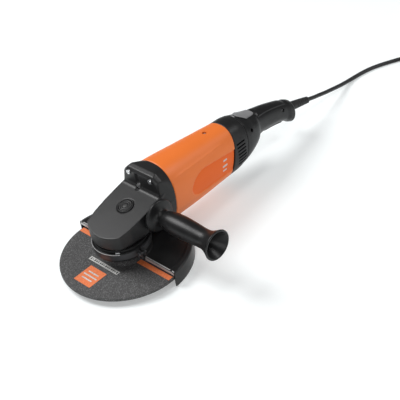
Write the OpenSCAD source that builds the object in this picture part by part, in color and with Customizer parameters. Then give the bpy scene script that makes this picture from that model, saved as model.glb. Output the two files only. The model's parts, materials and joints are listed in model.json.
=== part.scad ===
// Two-handed electric angle grinder for a 230 mm wheel.
// Millimetres. The spindle turns about Z and Z = 0 is the lower end of its thread.
// +X points forward to the gear head, +Y to the operator's left, where the side handle is.

/* [Wheel and guard] */
// Outer diameter of the grinding wheel
wheel_d = 230; // [180:5:230]
// Thickness of the wheel
wheel_t = 6; // [4:0.5:6.5]
// Height of the wheel's middle plane above the spindle end
wheel_z = 10; // [9:0.5:11]
// Radius of the guard's outside
guard_r = 120; // [118:1:122]
// Height of the guard's top plate above the wheel's middle plane
guard_rise = 17; // [16:0.5:18]
// Depth of the guard's skirt below the wheel's middle plane
guard_drop = 14; // [12:0.5:15]

/* [Gear head] */
// Height of the motor axis
motor_z = 84; // [83:0.5:85]
// Half width of the gear head
head_w = 45.5; // [45:0.5:46.5]
// Height of the gear head's roof at its rear ledge
roof_z = 110; // [109:0.5:111]
// Slope of the roof towards the front, in degrees
roof_slope = 13.6; // [12:0.2:14]
// Distance of the front face of the flange block behind the spindle
block_x = 64; // [63:0.5:65]

/* [Motor housing] */
// Distance of the motor housing's front edge behind the spindle
motor_front = 93.5; // [93:0.5:94]
// Length of the motor housing
motor_l = 160; // [159:1:162]
// Backward lean of the seams round the body, as a share of their height
seam_tilt = 0.065; // [0.05:0.005:0.08]
// Wall thickness of the plastic shells
wall = 3; // [2.6:0.1:3.2]

/* [Handles] */
// Distance of the rear grip's end behind the spindle
grip_end = 452; // [450:1:456]
// Distance of the side handle's axis behind the spindle
side_x = 45; // [44:0.5:46]
// Height of the side handle's axis
side_z = 91; // [90:0.5:92]
// Distance of the side handle's outer end from the spindle plane
side_end = 190; // [185:1:195]
// Radius of the side handle's end flanges
side_flange_r = 27; // [26:0.5:28]

/* [Gears] */
// Teeth of the crown gear, a multiple of 4
crown_teeth = 40; // [40]
// Teeth of the bevel pinion
pinion_teeth = 11; // [11]
// Pitch radius of the crown gear
crown_r = 29; // [28.5:0.5:29.5]

/* [Mains lead] */
// Diameter of the mains lead
cord_d = 8; // [8]

/* [Hidden] */

$fn = 64;
eps = 0.01;                              // makes cuts run past a face
gap = 0.3;                               // clearance between neighbouring pieces
run = 0.04;                              // radial clearance of a running fit
black = "#26272a";
orange = "#d9661f";
steel = "#b9bbbf";
copper = "#a5562a";

floor_z = wheel_z - guard_drop;
wheel_r = wheel_d / 2;
plate_z = wheel_z + guard_rise;          // top of the guard plate
motor_back = motor_front + motor_l;
thread_r = 7;                            // M14
shank_r = 8.5;                           // spindle in its main bearing

// ---------- helpers ----------

function signed_power(v, e) = sign(v) * pow(abs(v), e);
// Outline of a superellipse with half width a, half height b and exponent n
function oval(a, b, n, count) =
    [for (i = [0:count - 1]) let (t = 360 * (i + 0.5) / count)
        [a * signed_power(cos(t), 2 / n), b * signed_power(sin(t), 2 / n)]];

// A solid through sections [x, z, half width, half height, exponent, lean], front to back;
// a section without a lean of its own leans back by tilt
module loft(sections, grow = 0, count = 40, tilt = seam_tilt) {
    rings = [for (s = sections) let (lean = len(s) > 5 ? s[5] : tilt)
        [for (p = oval(s[2] + grow, s[3] + grow, s[4], count)) [-s[0] - lean * p[1], p[0], s[1] + p[1]]]];
    last = len(sections) - 1;
    ends = (last + 1) * count;
    upright = (len(sections[0]) > 5 ? sections[0][5] : tilt) == 0;
    polyhedron(
        points = concat([for (ring = rings) each ring],
                        [for (s = [sections[0], sections[last]]) [-s[0], 0, s[1]]]),
        faces = [
            if (upright) [for (i = [count - 1:-1:0]) i]
            else for (i = [0:count - 1]) [(i + 1) % count, i, ends],
            for (i = [0:count - 1]) [last * count + i, last * count + (i + 1) % count, ends + 1],
            for (k = [0:last - 1], i = [0:count - 1]) let (j = (i + 1) % count)
                each [[(k + 1) * count + i, k * count + i, k * count + j],
                      [(k + 1) * count + j, (k + 1) * count + i, k * count + j]]
        ],
        convexity = 6);
}

// A cylinder along -X from x1 to x2, both measured behind the spindle, on the motor axis
module bar(x1, x2, r, z = motor_z, y = 0) {
    translate([-x2, y, z]) rotate([0, 90, 0]) cylinder(h = x2 - x1, r = r);
}

// A tube along the motor axis
module sleeve(x1, x2, r_in, r_out, z = motor_z) {
    difference() {
        bar(x1, x2, r_out, z);
        bar(x1 - 1, x2 + 1, r_in, z);
    }
}

module tube(h, r_in, r_out) {
    difference() {
        cylinder(h = h, r = r_out);
        translate([0, 0, -1]) cylinder(h = h + 2, r = r_in);
    }
}

// A deep-groove bearing with its rings and its cage, standing on Z = 0
module bearing(r_in, r_out, h) {
    race = (r_out - r_in) * 0.3;
    tube(h, r_in, r_in + race);
    tube(h, r_out - race, r_out);
    translate([0, 0, 1]) tube(h - 2, r_in + race + 0.1, r_out - race - 0.1);
}

// A cheese-head screw with a cross slot, its head's underside on Z = 0 and its shank below
module screw(head_r, head_h, shank_r, length) {
    difference() {
        cylinder(h = head_h, r = head_r, $fn = 32);
        for (a = [0, 90])
            rotate(a) translate([-head_r * 0.6, -0.4, head_h * 0.45])
                cube([head_r * 1.2, 0.8, head_h]);
    }
    translate([0, 0, -length]) cylinder(h = length + eps, r = shank_r, $fn = 32);
}

// ---------- gear head ----------

roof_drop = tan(roof_slope);
function roof(x) = roof_z - roof_drop * (x + block_x - 6);   // roof height at a place x
head_bottom = 57;
chamber_r = 36;                          // inside radius of the gear chamber
bush_z = 80;                             // lower end of the upper spindle bush
neck_r = 47.6;
neck_bottom = 36;
socket_face = head_w + 5;                // side face of a handle socket
socket_depth = 18;
// Case screws: y, z, distance of the head's seat behind the spindle, and length
upper_screws = [[26, 137, 65.5, 12], [-26, 137, 65.5, 12], [-7, 115, 66.5, 11]];
lower_screws = [[36, 50, 78.9, 26], [-36, 50, 78.9, 26]];
lock_x = -23;
lock_r = 11.7;
bezel_r = 15;
pin_x = -16;
pin_r = 2.5;

// Plan outline of the gear head: straight flanks that narrow to a nose with one wide arc
nose_x = 48;
nose_w = 40;
nose_depth = 15;
// Plan outline of the gear case, drawn in by inset
function head_plan(inset) =
    let (arc_r = (nose_w * nose_w + nose_depth * nose_depth) / (2 * nose_depth),
         half_angle = asin(nose_w / arc_r) - 2.3,
         side = [[-block_x - 13, head_w], [-20, head_w + 0.8], [10, head_w - 1],
                 [nose_x - nose_depth - 2.4 - inset * 0.2, nose_w + 0.5],
                 [nose_x - nose_depth - 0.2 - inset * 0.55, nose_w - 0.3]])
    concat([for (p = side) [p[0], inset - p[1]]],
           [for (i = [-8:8]) let (a = half_angle * i / 8)
               [nose_x - arc_r + (arc_r - inset) * cos(a), (arc_r - inset) * sin(a)]],
           [for (i = [4:-1:0]) [side[i][0], side[i][1] - inset]]);

// The gear case's block; its flanks draw in towards the neck
module head_block() {
    rings = [for (r = [[0, 3.5], [6, 0], [70, 0]])
        [for (p = head_plan(r[1])) [p[0], p[1], head_bottom + r[0]]]];
    n = len(rings[0]);
    polyhedron(
        points = concat([for (ring = rings) each ring], [[0, 0, head_bottom], [0, 0, head_bottom + 70]]),
        faces = concat(
            [for (i = [0:n - 1]) let (j = (i + 1) % n) each [[i, j, 3 * n], [2 * n + j, 2 * n + i, 3 * n + 1]]],
            [for (i = [0:n - 1]) let (j = (i + 1) % n) each [[i, n + i, j], [j, n + i, n + j]]],
            [for (i = [0:n - 1]) let (j = (i + 1) % n) [n + i, 2 * n + i, 2 * n + j, n + j]]),
        convexity = 6);
}

// Everything below the sloped roof, lowered by a depth
module below_roof(depth = 0) {
    translate([-block_x + 6, -80, roof_z - depth])
        rotate([0, roof_slope, 0]) translate([-60, 0, -200]) cube([260, 160, 200]);
}

collar_sections = [
    [76, 87.5, 48, 56, 2.5, 0],
    [80, 87.5, 49.2, 58, 2.4, 0.02],
    [motor_front - 0.1, 87.5, 50, 58.8, 2.3]
];

// A thin upright slice with an outline in Y and Z
module slice(x, outline) {
    translate([-x, 0, 0]) rotate([90, 0, -90]) linear_extrude(0.1) polygon(outline);
}

// The wedge between the roof and the motor: an upright face in front, an oval at the back
module flange_block() {
    hull() {
        slice(block_x, [[-46, 92], [-45, 106], [-39, 134], [-33, 140.5], [33, 140.5], [39, 134], [45, 106], [46, 92]]);
        slice(block_x + 4, [[-46, 92], [-41, 136], [-31, 145.3], [31, 145.3], [41, 136], [46, 92]]);
        slice(block_x + 12, [[-46, 92], [-42, 136], [-29, 147.6], [29, 147.6], [42, 136], [46, 92]]);
        intersection() {
            loft([[90, 87.5, 49.9, 58.7, 2.3], [motor_front - 0.15, 87.5, 49.9, 58.7, 2.3]]);
            translate([-110, -60, 92]) cube([50, 120, 80]);
        }
    }
}

// Hollow round between the roof and the wedge's face
module ledge_fillet(r = 8) {
    rise = r / cos(roof_slope) - r * roof_drop;
    arc = [for (a = [180:(90 - roof_slope) / 6:270.01 - roof_slope]) [r + r * cos(a), rise + r * sin(a)]];
    translate([-block_x, 0, roof(-block_x)]) rotate([90, 0, 0]) linear_extrude(86, center = true)
        polygon(concat([[-2, -4], [-2, rise]], arc, [[arc[6][0] + 0.5, arc[6][1] - 4]]));
}

module socket(depth, r, s) {
    face = s > 0 ? socket_face : head_w + 0.8;
    translate([-side_x, s * (face - depth), side_z]) rotate([-90 * s, 0, 0])
        cylinder(h = depth, r = r);
}

module gear_housing() {
    color(black)
    difference() {
        union() {
            intersection() {
                head_block();
                below_roof();
            }
            intersection() {
                loft(collar_sections);
                translate([-110, -60, 0]) cube([50, 120, 92.1]);
            }
            flange_block();
            ledge_fillet();
            for (s = [-1, 1]) socket(10, 14, s);
        }
        // gear chamber, around the boss of the needle bush
        difference() {
            intersection() {
                translate([0, 0, head_bottom - 1]) cylinder(h = 60, r = chamber_r);
                below_roof(5);
            }
            translate([0, 0, bush_z]) cylinder(h = 40, r = 12);
        }
        translate([0, 0, bush_z - 1]) cylinder(h = 10.2, r = 9.02);
        // pinion passage, bearing seat and the hollow behind it
        bar(30, 60, 12);
        bar(55.8, 70, 17.52);
        loft([[67, 84, 38, 38, 2.2], [82, 86, 43, 46.5, 2.3], [motor_front + 6, 86.5, 46, 50, 2.3]], tilt = 0);
        // seat of the lock bezel
        translate([lock_x, 0, lock_shelf - 1.35]) cylinder(h = 60, r = bezel_r + 0.05);
        // sockets for the side handle and threads of the flange screws
        for (s = [-1, 1]) socket(socket_depth, thread_r, s);
        for (a = [45:90:315]) rotate(a) translate([43, 0, head_bottom - 1]) cylinder(h = 6, r = 2.2);
        // case screws with counterbores, the channel over the middle screw and its notch
        for (p = upper_screws) {
            bar(p[2] - 8, p[2] + 0.1, 4.2, p[1], p[0]);
            bar(p[2] - 1, p[2] + p[3] + 1, 2.2, p[1], p[0]);
        }
        for (p = lower_screws) {
            bar(p[2] - 20, p[2] + 0.1, 4.2, p[1], p[0]);
            bar(p[2] - 1, motor_front + 1, 2.2, p[1], p[0]);
        }
        translate([-block_x - 2.4, -11, 115]) cube([10, 8, 24]);
        translate([-block_x - 2.4, -10.5, roof(-block_x) - 2]) cube([10, 7, 6]);
    }
}

module bearing_flange() {
    color(black)
    difference() {
        union() {
            translate([0, 0, neck_bottom]) cylinder(h = 16.4, r = neck_r);
            translate([0, 0, neck_bottom + 16]) cylinder(h = head_bottom - neck_bottom - 16.1, r = neck_r - 1.1);
            translate([0, 0, head_bottom - 0.1]) cylinder(h = 3, r = chamber_r - 0.1);
        }
        translate([0, 0, neck_bottom - 1]) cylinder(h = 30, r = 12);
        translate([0, 0, neck_bottom + 4]) cylinder(h = 30, r = 20 + 0.02);
        for (a = [45:90:315]) rotate(a) translate([43, 0, neck_bottom - 1]) cylinder(h = 30, r = 2.2);
        for (a = [45:90:315])
            rotate(a) translate([43, 0, neck_bottom - 1]) cylinder(h = 9, r = 4.2);
    }
}

module flange_screws() {
    color(steel)
    for (a = [45:90:315])
        rotate(a) translate([43, 0, neck_bottom + 7.9]) rotate([180, 0, 0])
            screw(3.9, 3.4, 2.1, 16);
}

module gear_case_screws() {
    color(steel) {
        for (p = concat(upper_screws, lower_screws))
            translate([-p[2], p[0], p[1]]) rotate([0, 90, 0]) screw(3.9, 3.6, 2.1, p[3]);
    }
}

// Cup that guides the lock button; its floor carries the spring and lets the pin through
module lock_bezel() {
    color(black)
    intersection() {
        translate([lock_x, 0, lock_shelf - 1.3])
            difference() {
                cylinder(h = 20, r = bezel_r);
                translate([0, 0, 1.3]) cylinder(h = 20, r = lock_r + run);
                translate([0, 0, -1]) cylinder(h = 20, r = 9.7);
            }
        below_roof(-1.6);
    }
}

module index_lug() {
    color(steel)
    for (a = [41, -49]) rotate(a) translate([neck_r - 0.6, -3.5, head_bottom - 3.4]) cube([3, 7, 2.6]);
}

module spindle_bearing() {
    color(steel) translate([0, 0, neck_bottom + 4.1]) bearing(shank_r + 0.03, 20, 12);
}

module spindle_needle_bush() {
    color(steel) translate([0, 0, bush_z]) tube(9, 6.03, 9);
}

module pinion_bearing() {
    color(steel) translate([-66.9, 0, motor_z]) rotate([0, 90, 0]) bearing(7.53, 17.5, 11);
}

module bearing_plate() {
    color(steel)
    difference() {
        bar(67.1, 70, 28);
        bar(60, 80, 11);
        for (s = [-1, 1]) bar(60, 80, 2.2, motor_z, s * 24);
    }
}

// ---------- motor ----------

motor_sections = [
    [motor_front, 87.5, 50, 58.8, 2.3],
    [motor_front + 22, 86.4, 49.4, 57.9, 2.3],
    [motor_front + 65, 82.8, 47, 56.2, 2.3, 0.1],
    [motor_back, 76.5, 39.5, 51, 2.4, 0.2]
];
field_x1 = 116;
field_x2 = 184;
field_r = 37.5;
brush_x = 211;
boss_r = 5.5;

// The same sections with both ends moved out, for cutting a hollow
function stretched(sections) = [for (i = [0:len(sections) - 1]) let (s = sections[i])
    concat([s[0] + (i == 0 ? -1 : i == len(sections) - 1 ? 1 : 0)], [for (k = [1:len(s) - 1]) s[k]])];

module shell(sections) {
    difference() {
        loft(sections);
        loft(stretched(sections), -wall);
    }
}

module air_baffle() {
    color(black)
    difference() {
        loft([[101, 87, 46, 54.6, 2.3], [104, 86.85, 46, 54.6, 2.3]]);
        bar(90, 115, 39);
        for (p = lower_screws) bar(90, 115, boss_r + gap, p[1], p[0]);
    }
}

module motor_housing() {
    color(orange)
    difference() {
        union() {
            shell(motor_sections);
            intersection() {
                loft(motor_sections, -wall / 2);
                union() {
                    // bosses of the case screws
                    for (p = lower_screws) bar(motor_front - 1.9, motor_front + 15, boss_r, p[1], p[0]);
                    // seat of the field core, carried on four webs
                    sleeve(field_x1, field_x2, field_r + 0.1, field_r + 2.5);
                    spokes(4, 45, field_x1, field_x2, field_r + 1);
                    // spider that carries the rear bearing
                    sleeve(229, 243, 15.1, 18);
                    spokes(6, 30, 231, 243, 16.5);
                }
            }
        }
        for (p = lower_screws) bar(motor_front - 7, motor_front + 13, 2.2, p[1], p[0]);
        // recess of the screw on top
        translate([-224, 0, 126]) cylinder(h = 10, r = 4.4);
    }
}

// Radial plates round the motor axis
module spokes(count, first, x1, x2, r_in) {
    for (i = [0:count - 1])
        translate([0, 0, motor_z]) rotate([first + 360 * i / count, 0, 0])
            translate([-x2, -2, r_in]) cube([x2 - x1, 4, 60]);
}

module field_core() {
    color(steel) sleeve(field_x1, field_x2, 26, field_r);
}

module field_coils() {
    color(copper)
    for (x = [field_x1 - 9.2, field_x2 + 0.2], turn = [0, 180])
        intersection() {
            sleeve(x, x + 9, 27, 36);
            translate([0, 0, motor_z]) rotate([turn, 0, 0]) translate([-x - 10, -40, 4]) cube([12, 80, 40]);
        }
}

module brush_holders() {
    color("#c9a24a")
    for (s = [-1, 1])
        translate([-brush_x, s * 27.2, motor_z])
            difference() {
                cube([10, 17, 16], center = true);
                cube([6.4, 20, 12.4], center = true);
            }
}

module carbon_brushes() {
    color("#303033")
    for (s = [-1, 1]) translate([-brush_x, s * 24.8, motor_z]) cube([6.2, 14.6, 12.2], center = true);
}

module brush_springs() {
    color(steel)
    for (s = [-1, 1])
        translate([-brush_x, s * 32.2, motor_z]) rotate([-90 * s, 0, 0]) tube(3, 1.4, 2.6);
}

module rear_bearing() {
    color(steel) translate([-241, 0, motor_z]) rotate([0, 90, 0]) bearing(4.03, 13, 9);
}

module rear_bearing_sleeve() {
    color(black) sleeve(231, 242, 13.02, 15);
}

module armature_shaft() {
    color(steel) {
        bar(21, 46.8, 3.5);
        bar(46.8, 112, 7.5);
        bar(112, 230, 8);
        bar(230, 242, 4);
    }
}

module armature_core() {
    color(steel)
    difference() {
        bar(120, 180, 25);
        bar(110, 190, 8.02);
        for (a = [0:30:330])
            translate([0, 0, motor_z]) rotate([a, 0, 0]) translate([-181, -1.2, 19]) cube([62, 2.4, 10]);
    }
}

module armature_windings() {
    color(copper) {
        sleeve(108, 119.9, 8.5, 22);
        sleeve(180.1, 194, 8.5, 22);
    }
}

module commutator() {
    color("#b8753c")
    difference() {
        sleeve(198, 224, 8.02, 17);
        for (a = [0:15:345])
            translate([0, 0, motor_z]) rotate([a, 0, 0]) translate([-225, -0.3, 16]) cube([28, 0.6, 4]);
    }
}

module cooling_fan() {
    color("#4a4c50") {
        sleeve(84, 100, 7.52, 11);
        sleeve(97, 100, 10.9, 38);
        for (a = [0:24:336])
            translate([-97.1, 0, motor_z]) rotate([a, 0, 0]) translate([0, 10, -0.8]) cube([10, 27, 1.6]);
    }
}

// ---------- bevel gears ----------

pinion_r = crown_r * pinion_teeth / crown_teeth;
tooth_in = 0.7;                                    // inner end of the teeth, share of the outer
module_size = 2 * crown_r / crown_teeth;
tooth_w = module_size * 0.5;                       // half width of a tooth at its pitch circle

// One straight bevel tooth, its root at a distance from the cone's axis; the apex is the origin,
// the axis is +Z and the tooth points away from the axis.
module bevel_tooth(pitch_r, axial, add, ded, half_w) {
    function ring(k) = [
        [k * (pitch_r - ded), -k * half_w * 1.35, k * axial],
        [k * (pitch_r - ded), k * half_w * 1.35, k * axial],
        [k * (pitch_r + add), k * half_w * 0.6, k * axial],
        [k * (pitch_r + add), -k * half_w * 0.6, k * axial]];
    polyhedron(points = concat(ring(tooth_in), ring(1)),
               faces = [[3, 2, 1, 0], [4, 5, 6, 7], [0, 1, 5, 4], [1, 2, 6, 5], [2, 3, 7, 6], [3, 0, 4, 7]]);
}

// The apex of both pitch cones lies where the axes cross
module bevel_pinion() {
    root_r = pinion_r - 1.1;
    color(steel)
    difference() {
        translate([0, 0, motor_z]) rotate([0, -90, 0]) {
            translate([0, 0, crown_r * tooth_in])
                cylinder(h = crown_r * (1 - tooth_in), r1 = root_r * tooth_in, r2 = root_r);
            for (i = [0:pinion_teeth - 1])
                rotate(180 + 360 * i / pinion_teeth)
                    bevel_tooth(pinion_r, crown_r, 0.8, 1.4, tooth_w);
            translate([0, 0, crown_r - eps]) cylinder(h = 8, r = 8);
            translate([0, 0, crown_r + 7]) cylinder(h = 10.6, r = 9.5);
        }
        bar(10, 46.7, 3.52);
    }
}

crown_base = 63;                                   // underside of the toothed rim
web_top = 72.4;

module crown_gear() {
    rim_top = motor_z - pinion_r - 1.6;
    color(steel)
    difference() {
        union() {
            translate([0, 0, neck_bottom + 16.3]) cylinder(h = 20, r = 12);
            rotate_extrude()
                polygon([[11, crown_base], [crown_r + 1, crown_base], [crown_r + 1, rim_top],
                         [crown_r, rim_top], [crown_r * tooth_in, motor_z - pinion_r * tooth_in - 1.6],
                         [crown_r * tooth_in - 1, web_top], [11, web_top]]);
            for (i = [0:crown_teeth - 1])
                translate([0, 0, motor_z]) rotate(360 * (i + 0.5) / crown_teeth) crown_tooth();
        }
        translate([0, 0, 40]) cylinder(h = 60, r = shank_r + 0.02);
        for (a = [0:90:270]) rotate(a) translate([pin_x, 0, 50]) cylinder(h = 30, r = pin_r + 0.6);
    }
}

// One tooth of the crown gear, standing on its pitch cone; the apex is the origin
module crown_tooth() {
    function ring(k) = [
        [k * crown_r, -tooth_w * k * 1.4, -k * pinion_r - 1.8],
        [k * crown_r, tooth_w * k * 1.4, -k * pinion_r - 1.8],
        [k * crown_r, tooth_w * k * 0.6, -k * pinion_r + k * 0.8],
        [k * crown_r, -tooth_w * k * 0.6, -k * pinion_r + k * 0.8]];
    polyhedron(points = concat(ring(tooth_in), ring(1)),
               faces = [[0, 1, 2, 3], [7, 6, 5, 4], [4, 5, 1, 0], [5, 6, 2, 1], [6, 7, 3, 2], [7, 4, 0, 3]]);
}

// ---------- spindle ----------

hub_rise = 4.5;                                    // how far the wheel's centre is raised
hub_top = wheel_z + hub_rise + wheel_t / 2;
hub_bottom = hub_top - wheel_t;
nut_bottom = 4.5;
thread_free = 4;                                   // free thread below the nut

module spindle_shaft() {
    color(steel) {
        cylinder(h = thread_free, r = thread_r);
        translate([0, 0, thread_free - eps]) cylinder(h = hub_top - thread_free + 2, r = 6.35);
        translate([0, 0, hub_top + 1.9]) cylinder(h = 18, r = 8);
        translate([0, 0, hub_top + 12]) cylinder(h = neck_bottom + 4 - hub_top - 12, r = 11);
        translate([0, 0, neck_bottom + 3]) cylinder(h = 35, r = shank_r);
        translate([0, 0, 73]) cylinder(h = 15, r = 6);
    }
}

module inner_flange() {
    color(steel)
    difference() {
        union() {
            translate([0, 0, hub_top]) cylinder(h = 11.9, r = 21);
            translate([0, 0, hub_top - 2]) cylinder(h = 3, r = 11);
        }
        translate([0, 0, hub_top - 5]) cylinder(h = 30, r = 8 + run);
        translate([0, 0, hub_top + 5]) tube(10, 15, 30);
    }
}

module grinding_wheel() {
    color("#55575a")
    rotate_extrude($fn = 96)
        polygon([[11.1, hub_bottom], [27, hub_bottom], [33, wheel_z - wheel_t / 2],
                 [wheel_r, wheel_z - wheel_t / 2], [wheel_r, wheel_z + wheel_t / 2],
                 [35, wheel_z + wheel_t / 2], [29, hub_top], [11.1, hub_top]]);
}

// Paper labels on the wheel: a square, a strip and two bars
module wheel_label() {
    color(orange)
    intersection() {
        translate([0, 0, wheel_z + wheel_t / 2]) cylinder(h = 0.3, r = wheel_r - 1.5);
        translate([0, 0, wheel_z]) linear_extrude(10) {
            translate([77, -5]) square(40, center = true);
            translate([44, -6]) square([8, 72], center = true);
            for (s = [-1, 1]) translate([-4, s > 0 ? 36 : -113]) square([10, 77]);
        }
    }
}

module clamping_nut() {
    color(steel)
    difference() {
        union() {
            translate([0, 0, nut_bottom]) cylinder(h = hub_bottom - nut_bottom, r = 20);
            translate([0, 0, hub_bottom - 1]) cylinder(h = 3, r = 11);
        }
        cylinder(h = 30, r = 6.35 + run);
        for (a = [45:90:315]) rotate(a) translate([15, 0, 0]) cylinder(h = nut_bottom + 3, r = 2.5);
    }
}

// ---------- guard ----------

plate_t = 2;
edge_x = -3;                                       // the guard's front edge
collar_low = wheel_z + 28;
collar_high = wheel_z + 42.3;

module rear_half() {
    translate([-200, -200, -50]) cube([200 + edge_x, 400, 200]);
}

module guard_shell() {
    lip_l = guard_r - neck_r - 2.5;
    color(black) {
        intersection() {
            rear_half();
            union() {
                translate([0, 0, plate_z - plate_t]) tube(plate_t, neck_r + 0.4, guard_r - 1);
                translate([0, 0, floor_z]) tube(plate_z - floor_z, guard_r - 2, guard_r);
                translate([0, 0, plate_z - 0.5]) tube(1.2, guard_r - 9, guard_r - 6);
                translate([0, 0, plate_z - plate_t])
                    tube(collar_low - plate_z + plate_t + 1, neck_r + 0.4, neck_r + 2);
            }
        }
        // stiffening lip along the front edge
        for (s = [-1, 1])
            translate([edge_x - plate_t, s > 0 ? neck_r + 1 : 1.5 - guard_r, plate_z - 8])
                cube([plate_t, lip_l, 7]);
        translate([0, 0, collar_low]) tube(collar_high - collar_low, neck_r + 0.4, neck_r + 2);
    }
}

band_r = neck_r + 2.05;
ear_turn = 84;                           // place of the clamp's ears round the spindle

module guard_clamp_band() {
    color(steel)
    difference() {
        union() {
            translate([0, 0, collar_low + 2]) tube(collar_high - collar_low - 2.5, band_r, band_r + 1.6);
            rotate(ear_turn) for (s = [-1, 1])
                translate([band_r, s * 3.2 - 0.9, collar_low + 2]) cube([12, 1.8, 11.4]);
        }
        rotate(ear_turn) translate([band_r - 3, -2.2, collar_low]) cube([8, 4.4, 20]);
        rotate(ear_turn) translate([band_r + 8, -10, collar_low + 7.7]) rotate([-90, 0, 0])
            cylinder(h = 20, r = 2.3);
    }
}

module guard_clamp_screw() {
    color(steel)
    rotate(ear_turn) translate([band_r + 8, -4.3, collar_low + 7.7]) rotate([90, 0, 0]) screw(3.6, 4, 2.2, 12);
}

// ---------- spindle lock ----------

button_top = roof(lock_x) + 1.2;
button_bottom = button_top - 3.5;
lock_shelf = button_bottom - 4;
pin_bottom = web_top + 1.1;

module lock_button() {
    color(black)
    intersection() {
        translate([lock_x, 0, button_bottom]) cylinder(h = 14, r = lock_r);
        below_roof(-1.8);
    }
}

module lock_pin() {
    color(steel) translate([pin_x, 0, pin_bottom]) cylinder(h = button_bottom - pin_bottom, r = pin_r);
}

module lock_spring() {
    color(steel) translate([lock_x, 0, lock_shelf]) tube(button_bottom - lock_shelf, 9.9, 10.9);
}

// ---------- rear housing and grip ----------

vent_sections = [
    [motor_back + 0.2, 76.5, 39.5, 51, 2.4, 0.2],
    [274, 76.2, 39.5, 50.2, 2.4, 0.17],
    [290.5, 76.5, 38.8, 47.4, 2.3, 0.14]
];
shell_sections = [
    [290.8, 76.5, 38.8, 47.3, 2.3, 0.14],
    [301, 76, 38, 44.6, 2.2, 0.12],
    [312, 76.4, 36, 41, 2.2, 0.09],
    [324, 76.8, 33, 36.8, 2.1],
    [337, 78.4, 28, 31.8, 2.1],
    [343, 80.4, 22.8, 28.8, 2.1],
    [349, 80.6, 21.2, 27.6, 2.1],
    [360, 80, 19.8, 25.6, 2.1],
    [376, 77.6, 18.6, 24.2, 2.1],
    [394, 73.8, 18, 22.8, 2.1],
    [412, 69, 17.6, 21.6, 2.1],
    [428, 63, 17.6, 21.4, 2.1],
    [438, 57.8, 19, 23.8, 2.1],
    [446, 53.6, 19.2, 23.6, 2.1],
    [grip_end, 51.2, 15.5, 18.8, 2.1]
];
shell_screws = [[311, 98], [340, 62], [417, 76]];  // distance behind the spindle, and height

module vent_ring() {
    color(black)
    difference() {
        shell(vent_sections);
        // cooling slots in both sides
        for (s = [-1, 1], i = [0:6])
            translate([-284.5, s > 0 ? 20 : -60, 51.8 + i * 7]) cube([22, 40, 3]);
    }
}

// The solid between two skins of the rear housing, for pieces that follow its surface
module skin(low, high) {
    difference() {
        loft(shell_sections, high);
        loft(shell_sections, low);
    }
}

// One half of the handle, s = 1 on the left and -1 on the right
module handle_half(s) {
    last = len(shell_sections) - 1;
    difference() {
        intersection() {
            loft(shell_sections);
            translate([-500, s > 0 ? 0.05 : -60.05, 0]) cube([300, 60, 160]);
        }
        difference() {
            loft([for (i = [0:last - 1]) stretched(shell_sections)[i]], -wall);
            for (p = shell_screws) screw_hole(p, 4.5, -60);
        }
        for (p = shell_screws) screw_hole(p, 1.7, -60);
        screw_hole([trigger_x, trigger_z], 1.53, -60);
        if (s > 0) for (p = shell_screws) screw_hole(p, 3.4, 10.9);
        // slot of the trigger and slot of the lock-off slide
        translate([-427, -7.3, 20]) cube([62, 14.6, 50]);
        translate([-336, -8.6, 96]) cube([28, 17.2, 40]);
        // mouth of the strain relief
        translate([-relief_x1, 0, relief_z1]) rotate([0, -relief_tilt, 0])
            translate([-40, 0, 0]) rotate([0, 90, 0]) cylinder(h = 42, r = 9.05);
    }
}

// A hole across the handle at a screw's place, from y outwards to the left
module screw_hole(p, r, y) {
    translate([-p[0], y, p[1]]) rotate([-90, 0, 0]) cylinder(h = 120, r = r);
}

module handle_shell_left() {
    color(black) handle_half(1);
}

module handle_shell_right() {
    color(black) handle_half(-1);
}

module handle_screws() {
    color(steel)
    for (p = shell_screws)
        translate([-p[0], 10.9, p[1]]) rotate([-90, 0, 0]) screw(3.1, 2.4, 1.6, 20);
}

module switch_block() {
    color("#3a3c40")
    translate([-404, -6.9, 74]) cube([46, 13.8, 14]);
}

module speed_module() {
    color("#3a3c40") translate([-298, -20, 56]) cube([34, 40, 22]);
}

module cord_clamp() {
    color(black) translate([-433, -9, 53]) cube([9, 18, 6]);
}

trigger_x = 372;                                   // pivot of the trigger
trigger_z = 58;

module trigger() {
    color(black)
    difference() {
        rotate([90, 0, 0]) linear_extrude(14, center = true)
            polygon([[-367, 64], [-380, 64], [-390, 62], [-402, 62], [-420, 54], [-422, 46.5],
                     [-419, 43.5], [-412, 45.3], [-400, 48], [-386, 50.3], [-374, 51.8], [-367, 53.5]]);
        translate([-trigger_x, 0, trigger_z]) rotate([90, 0, 0])
            cylinder(h = 40, r = 1.5 + run, center = true);
    }
}

module trigger_pin() {
    color(steel)
    translate([-trigger_x, 0, trigger_z]) rotate([90, 0, 0]) cylinder(h = 19, r = 1.5, center = true);
}

module trigger_spring() {
    color(steel) translate([-396, 0, 62.1]) tube(11.8, 2.2, 3.4);
}

slide_x = -325;
slide_slope = 15.5;                                // the grip's top falls at this angle

module lock_off_slide() {
    color("#8b8d90") {
        intersection() {
            skin(0.5, 2.4);
            translate([0, 0, 90]) linear_extrude(60)
                polygon([[-343.5, -9], [-317, -16], [-303, -5], [-303, 5], [-317, 16], [-343.5, 9]]);
        }
        translate([slide_x, 0, 106]) rotate([0, -slide_slope, 0]) cube([12, 16, 17], center = true);
    }
}

// Raised arrow-like rest in front of the slide
module slide_stop() {
    color("#8b8d90")
    intersection() {
        skin(0.03, 1.8);
        translate([0, 0, 90]) linear_extrude(60) polygon([[-293, -5.8], [-299.3, -3], [-299.3, 3], [-293, 5.8]]);
    }
}

// ---------- side handle ----------

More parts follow.
